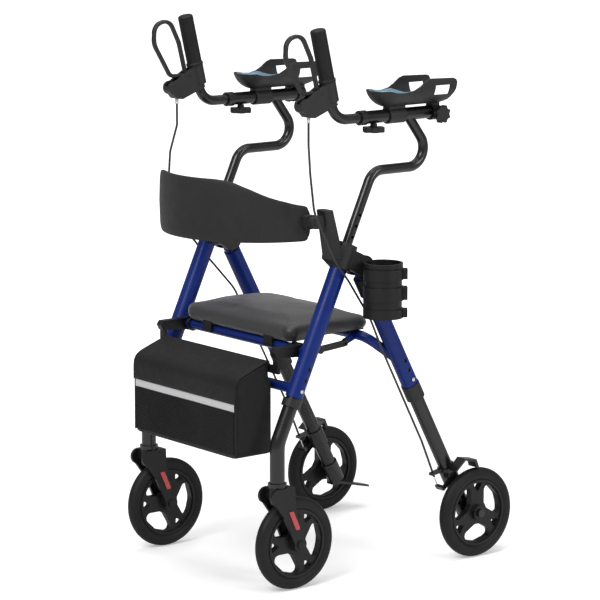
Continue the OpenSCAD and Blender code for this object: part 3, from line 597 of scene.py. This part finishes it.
def backrest_band():
    """Curved pad whose top edge slopes down to the hinge blocks."""
    lo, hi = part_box("backrest")
    cy = BACK_CENTRE + MY
    mid = cy - lo.y - BACK_HALF
    end = math.acos((BACK_CENTRE - BACK_END) / mid)
    loops = []
    for i in range(BACK_STEPS + 1):
        a = -end + 2 * end * i / BACK_STEPS
        left = (end - abs(a)) * mid
        round_off = BACK_ROUND - math.sqrt(max(0, BACK_ROUND ** 2 - max(0, BACK_ROUND - left) ** 2))
        drop = float(np.interp(abs(mid * math.sin(a)), BACK_TOP_X, BACK_TOP_Z))
        zt = hi.z + drop - round_off - BACK_MARGIN
        zb = lo.z + round_off + BACK_MARGIN
        thick = BACK_PAD * (1 - 0.35 * max(0, 1 - left / BACK_TAPER) ** 2)
        ring = []
        for j in range(BACK_SIDES):
            t = 2 * math.pi * j / BACK_SIDES
            u, v = bulged(math.cos(t), 0.42), bulged(math.sin(t), 0.22)
            r = mid + thick * u * (0.66 + 0.34 * (1 - abs(v) ** 2.2))
            ring.append((r * math.sin(a), cy - r * math.cos(a), (zt + zb) / 2 + (zt - zb) / 2 * v))
        loops.append(ring)
    o = loft("backrest_band", loops, mats["backrest_fabric"])
    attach(o, "backrest")
    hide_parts("backrest")


backrest_band()


# Bag. LID is the lid's side profile in (y, z), from its axis to its lower edge at the strip.
LID = [(-0.0280, 0.4966), (-0.0330, 0.4960), (-0.0440, 0.4925), (-0.0560, 0.4882), (-0.0680, 0.4839),
       (-0.0800, 0.4796), (-0.0920, 0.4751), (-0.1020, 0.4708), (-0.1090, 0.4664), (-0.1140, 0.4612),
       (-0.1170, 0.4552), (-0.1184, 0.4490), (-0.1190, 0.4430), (-0.1192, 0.4340), (-0.1192, 0.4240),
       (-0.1192, 0.4120)]
BAG_W = 0.1865
LID_W, LID_WALL = BAG_W + 0.0005, 0.0022
BAG_BACK, BAG_FRONT = -0.0275 + MY, -0.1175 + MY
BAG_FLOOR, BAG_FOOT = 0.2915, 0.009
BAG_WALL, BAG_ROWS = 0.0024, 34
BAG_CORNER, CORNER_STEPS = 0.008, 6
HANGER_FOOT, BACK_SWELL = 0.468, 0.008
FRONT_SAG, SIDE_SAG, SAG_TALL = 0.0011, 0.0012, 0.16
RIM_GAP = 0.0034
# rings of the floor as (share of the outline, height)
FLOOR_RINGS = ((0.1, 0), (0.3, 0), (0.55, 0), (0.8, 0), (0.95, 0.0004), (0.985, 0.003))
# one rib as (share of the pitch, height), and the strip as (z, height)
RIB = ((0.0, 0.0004), (0.2, 0.0014), (0.6, 0.0016), (0.85, 0.0004))
RIB_LOW, RIB_HIGH, RIB_PITCH = 0.2995, 0.391, 0.0042
STRIP = ((0.3945, 0.0004), (0.3953, 0.0013), (0.4030, 0.0015), (0.4097, 0.0013), (0.4105, 0.0004))
RIB_INSET, STRIP_INSET = 0.0075, 0.0055
PIPING_LOW, PIPING_HIGH, PIPING_STEPS = 0.2972, 0.444, 26
PIPING_R, PIPING_INSET = 0.0024, 0.0014
LID_SAG = 0.0014
LID_PIPING_R, LID_PIPING_INSET, LID_PIPING_DROP, LID_PIPING_OUT = 0.0014, 0.0009, 0.0008, 0.0001
BINDING_INSETS, BINDING_WALL, BINDING_OUT = (0.011, 0.008, 0.004, 0.001), 0.0010, -0.0006
HEM_Y, HEM_Z, HEM_R, HEM_STEPS = -0.0292, 0.4948, 0.0022, 40


def bag_top(y):
    """Height of the body's rim just under the lid."""
    ys, zs = zip(*LID[-4::-1])
    return float(np.interp(y - MY, ys, zs)) - RIM_GAP


def bag_shape(p):
    """Lets the back fill out below the hangers and the front and sides sag a little."""
    x, y, z = p
    low = share((HANGER_FOOT - z) / 0.03)
    y += BACK_SWELL * low * low * (3 - 2 * low) * share((y - BAG_BACK + 0.05) / 0.05)
    rise = math.sin(math.pi * share((z - BAG_FLOOR) / SAG_TALL))
    front = share((BAG_FRONT + 0.03 - y) / 0.03)
    y += FRONT_SAG * front * rise * (1 - (x / BAG_W) ** 4) * (1 + 0.5 * math.sin(x * 31 + 1.0))
    side = share((abs(x) - BAG_W + 0.02) / 0.02)
    deep = max(0, 1 - ((y - (BAG_FRONT + BAG_BACK) / 2) / 0.045) ** 2)
    x -= math.copysign(SIDE_SAG * side * rise * deep, x)
    return (x, y, z)


def bag_pieces():
    """Sagging shell with a ribbed front, a pale strip and piping down its front corners."""
    w, yb, yf = BAG_W, BAG_BACK, BAG_FRONT
    outline = rounded(-w, w, yf, yb, BAG_CORNER, CORNER_STEPS)
    c = (yb + yf) / 2
    loops = []
    for t, h in FLOOR_RINGS:
        loops.append([bag_shape((x * t, c + (y - c) * t, BAG_FLOOR + h)) for x, y in outline])
    foot = BAG_FLOOR + BAG_FOOT
    for i in range(BAG_ROWS + 1):
        loops.append([bag_shape((x, y, foot + (bag_top(y) - foot) * i / BAG_ROWS)) for x, y in outline])
    o = loft("bag_body", loops, mats["bag_fabric"], open_end=True)
    thicken(o, BAG_WALL, -1)
    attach(o, "front_frame")
    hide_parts("bag")

    cols = 40

    def row(z, out, inset):
        """Points across the front at height z, that stand out from it."""
        xs = [-w + inset + 2 * (w - inset) * i / cols for i in range(cols + 1)]
        return [(x, y - out, z) for x, y, z in (bag_shape((x, yf, z)) for x in xs)]

    # ribbed front panel under the strip
    rows, z = [], RIB_LOW
    while z < RIB_HIGH:
        for f, out in RIB:
            rows.append(row(z + RIB_PITCH * f, out, RIB_INSET))
        z += RIB_PITCH
    ribs = panel("bag_ribs", rows, cols, ribbed)
    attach(ribs, "front_frame")
    strip = panel("bag_strip", [row(z, out, STRIP_INSET) for z, out in STRIP], cols, pale)
    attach(strip, "front_frame")

    # piping down the two front corners
    for side in (-1, 1):
        run = PIPING_HIGH - PIPING_LOW
        heights = [PIPING_LOW + run * i / PIPING_STEPS for i in range(PIPING_STEPS + 1)]
        line = [bag_shape((side * (w - PIPING_INSET), yf + PIPING_INSET, z)) for z in heights]
        t = tube("bag_piping_" + ("left" if side > 0 else "right"), line, PIPING_R, mats["bag_fabric"], 10)
        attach(t, "front_frame")


bag_pieces()


def lid_line(out):
    """The lid's side profile in (y, z), moved outwards."""
    pts = np.array(LID)
    d = np.gradient(pts, axis=0)
    d /= np.linalg.norm(d, axis=1, keepdims=True)
    return pts + np.stack([d[:, 1], -d[:, 0]], axis=1) * out


def bag_lid():
    """Draped lid with piping and binding on its sides and a hem along its axis."""
    w, cols = LID_W, 48
    xs = [-w + 2 * w * i / cols for i in range(cols + 1)]
    rows = []
    for k, (y, z) in enumerate(LID):
        most = LID_SAG * math.sin(math.pi * k / (len(LID) - 1))
        sags = [most * max(0, 1 - (x / w) ** 2) * (1 + 0.3 * math.sin(x * 40)) for x in xs]
        rows.append([(x, y + MY, z - LID_WALL / 2 - sag) for x, sag in zip(xs, sags)])
    o = panel("bag_lid_cloth", rows, cols, mats["bag_fabric"], LID_WALL)
    subdivide(o)
    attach(o, "bag_lid")
    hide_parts("bag_lid")
    trims = []
    for side in (-1, 1):
        tag = "left" if side > 0 else "right"
        x = side * (w - LID_PIPING_INSET)
        line = [(x, y + MY, z - LID_PIPING_DROP) for y, z in lid_line(LID_PIPING_OUT)]
        t = tube("lid_piping_" + tag, line, LID_PIPING_R, mats["bag_fabric"], 10)
        across = [side * (w - inset) for inset in BINDING_INSETS]
        rows = [[(x, y + MY, z) for x in across] for y, z in lid_line(BINDING_OUT)]
        b = panel("lid_binding_" + tag, rows, len(across) - 1, mats["bag_fabric"], BINDING_WALL)
        trims += [t, b]
    line = [(-w + 2 * w * i / HEM_STEPS, HEM_Y + MY, HEM_Z) for i in range(HEM_STEPS + 1)]
    trims.append(tube("lid_hem", line, HEM_R, mats["bag_fabric"]))
    for t in trims:
        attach(t, "bag_lid")


bag_lid()


# Gel pads: a trough between two radii, whose sides rise to PAD_RISE at PAD_AT from its front end
PAD_OUT, PAD_IN = 0.0430, 0.0362
PAD_BOWL_Y = 0.256
PAD_MARGIN, PAD_LIFT, PAD_LEAST = 0.001, 0.0003, 0.002
PAD_STEPS, PAD_SIDES = 60, 32
PAD_AT = [0, 0.020, 0.036, 0.056, 0.082, 0.124, 0.19]
PAD_RISE = [0.0330, 0.0340, 0.0300, 0.0290, 0.0305, 0.0175, 0.0160]


def gel_pad(side):
    """Pad that lines the tray, with the tray's round bowl in front."""
    s = 1 if side == "left" else -1
    lo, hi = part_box("tray_pad_" + side)
    xc = s * FRAME_X
    y0, y1 = lo.y + PAD_MARGIN, hi.y - PAD_MARGIN
    zb = lo.z + PAD_LIFT
    c = zb + PAD_OUT
    yc = PAD_BOWL_Y + MY
    loops = []
    for i in range(PAD_STEPS + 1):
        y = y0 + (y1 - y0) * i / PAD_STEPS
        d = max(0, yc - y)
        ro = math.sqrt(max(1e-8, PAD_OUT ** 2 - d * d))
        ri = math.sqrt(max(1e-8, PAD_IN ** 2 - min(d, PAD_IN * 0.98) ** 2))
        ri = min(ri, ro - PAD_LEAST)
        h = float(np.interp(y - y0, PAD_AT, PAD_RISE))
        end = min(1, (y1 - y) / 0.006 + 0.25) * min(1, (y - y0) / 0.004 + 0.25)
        # the ends are thinner and a little narrower
        rm, half = (ro + ri) / 2, (ro - ri) / 2 * (0.5 + 0.5 * end)
        cosp = min(0.98, max(-1, (c - (zb + h)) / rm))
        ph = math.acos(cosp) * (0.94 + 0.06 * end)
        ring = []
        for j in range(PAD_SIDES):
            t = 2 * math.pi * j / PAD_SIDES
            a = ph * bulged(math.cos(t), 0.5)
            r = rm + half * bulged(math.sin(t), 0.8)
            ring.append((xc + r * math.sin(a), y, c - r * math.cos(a)))
        loops.append(ring)
    o = loft("gel_pad_" + side, loops, mats["gel"])
    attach(o, "tray_" + side)
    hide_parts("tray_pad_" + side)


for side in ("left", "right"):
    gel_pad(side)


# Brake cables. ROUTE repeats the points of the CAD cable on the left, and BENDS gives the radius at each
# point between its ends. CUTS are the heights where one piece of the cable ends and the next begins.
BAR_Z = 1.0085
BRAKE_Y, BRAKE_Z = 0.43327, 0.19163
CABLE_R = 0.0025
ROUTE = [(FRAME_X, 0.040, BAR_Z + 0.020), (FRAME_X, 0.040, BAR_Z - 0.048), (FRAME_X + 0.016, 0.032, 0.900),
         (FRAME_X + 0.027, 0.034, 0.820), (FRAME_X + 0.029, 0.092, 0.706), (FRAME_X + 0.027, 0.128, 0.664),
         (FRAME_X + 0.008, 0.204, 0.572), (FRAME_X + 0.004, 0.243, 0.495), (FRAME_X + 0.004, 0.358, 0.276),
         (FRAME_X + 0.004, BRAKE_Y - 0.038, BRAKE_Z - 0.002)]
BENDS = (0.022, 0.06, 0.06, 0.06, 0.10, 0.12, 0.12, 0.022)
CUTS = (0.925, 0.818, 0.664, 0.470)
FERRULE = [0.0036] * 3 + [0.0040] * 12 + [0.0034] * 3 + [0.0040] * 3
FERRULE_STEP, FERRULE_SIDES = 0.001, 20
WIRE_R, WIRE_STEPS = 0.0012, 10


def filleted(points, radii, arc_step=0.003, step=0.006):
    """Line through the points with an arc of the given radius at each inner one, in short steps."""
    pts = [Vector(p) for p in points]
    out = [pts[0]]
    for i in range(1, len(pts) - 1):
        a, b, c = pts[i - 1], pts[i], pts[i + 1]
        u, w = (b - a).normalized(), (c - b).normalized()
        turn = u.angle(w)
        r = radii[i - 1]
        lead = r * math.tan(turn / 2)
        m = (w - u * u.dot(w)).normalized()
        o = b - u * lead + m * r
        out.append(b - u * lead)
        k = max(2, int(turn * r / arc_step))
        for j in range(1, k):
            t = turn * j / k
            out.append(o - m * r * math.cos(t) + u * r * math.sin(t))
        out.append(b + w * lead)
    out.append(pts[-1])
    fine = [out[0]]
    for p, q in zip(out, out[1:]):
        k = max(1, int((q - p).length / step))
        for j in range(1, k + 1):
            fine.append(p + (q - p) * j / k)
    return fine


def cables(side):
    """Cable in five pieces, cut where it passes from one body to the next, with its ferrule and its bare
    wire.
    """
    s = 1 if side == "left" else -1
    line = [Vector((s * p.x, p.y + MY, p.z)) for p in filleted(ROUTE, BENDS)]

    def below(z):
        return next(i for i, p in enumerate(line) if p.z < z)

    i1, i2, i3, i4 = (below(z) for z in CUTS)
    spans = (("a", line[:i1 + 1], "grip_" + side, "handle_" + side),
             ("b", line[i1:i2 + 1], "handle_" + side, "front_frame"),
             ("c", line[i2:i3 + 1], "front_frame", None),
             ("d", line[i3:i4 + 1], "front_frame", "rear_frame"),
             ("e", line[i4:], "rear_frame", "rear_lower_" + side))
    for tag, part, a, b in spans:
        t = tube(f"cable_{side}_{tag}", part, CABLE_R, mats["cable_skin"])
        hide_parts("cable_" + side)
        if b:
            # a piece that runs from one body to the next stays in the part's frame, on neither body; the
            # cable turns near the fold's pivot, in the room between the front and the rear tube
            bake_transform(t)
        else:
            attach(t, a)
    x, y, z = ROUTE[0]
    turns = [2 * math.pi * k / FERRULE_SIDES for k in range(FERRULE_SIDES)]
    loops = [[(s * x + r * math.cos(a), y + MY + r * math.sin(a), z - FERRULE_STEP * k) for a in turns]
             for k, r in enumerate(FERRULE)]
    o = loft("cable_ferrule_" + side, loops, mats["steel"])
    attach(o, "grip_" + side)
    stop = line[-1]
    end = Vector((s * (FRAME_X + 0.004), BRAKE_Y - 0.025 + MY, BRAKE_Z - 0.031))
    wire = [stop + (end - stop) * k / WIRE_STEPS for k in range(WIRE_STEPS + 1)]
    o = tube("cable_wire_" + side, wire, WIRE_R, mats["steel"], 10)
    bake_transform(o)


for side in ("left", "right"):
    cables(side)

# every mesh made here is shaded smooth, and the CAD meshes stay as they are
for o in list(bpy.data.objects):
    if o.type == "MESH" and "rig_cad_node" not in o:
        for p in o.data.polygons:
            p.use_smooth = True
